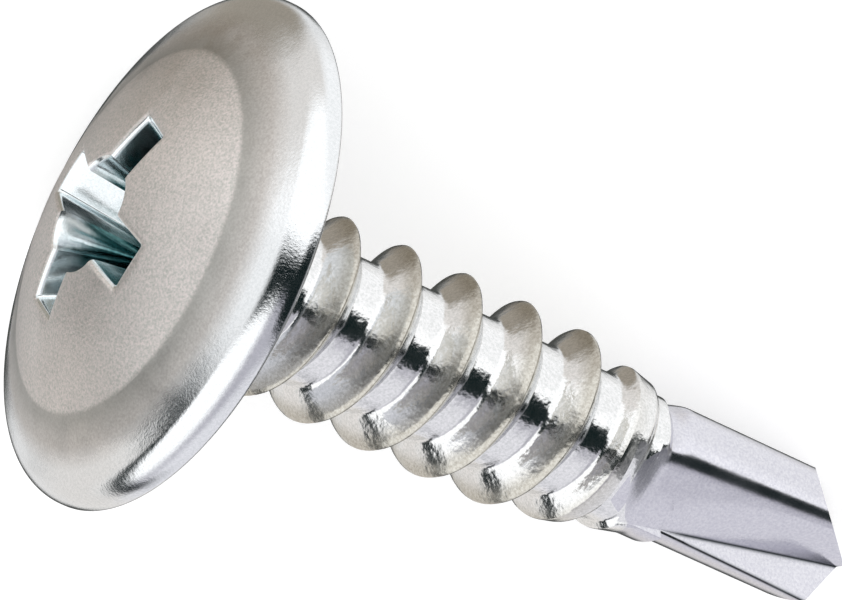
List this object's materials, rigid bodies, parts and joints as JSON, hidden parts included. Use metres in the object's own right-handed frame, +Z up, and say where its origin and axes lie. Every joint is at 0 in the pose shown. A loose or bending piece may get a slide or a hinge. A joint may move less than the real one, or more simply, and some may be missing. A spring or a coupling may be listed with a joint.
{
  "type": "self drilling screw",
  "caption": "Self drilling screw with a low domed wafer head, a cross recess, a tapping thread and a fluted drill point.",
  "frame": {"origin": "middle of the bounding box, on the floor that the screw lies on", "axes": "+X from the head to the drill point, along the floor; +Z up; the screw's axis falls from the head to the point in the XZ plane"},
  "size_m": [0.0186, 0.0106, 0.0103],
  "materials": {
    "zinc_plate": "bright zinc plate on cold-forged steel, satin on the head's face"
  },
  "bodies": {
    "root": {"screw": "zinc_plate"}
  },
  "joints": []
}
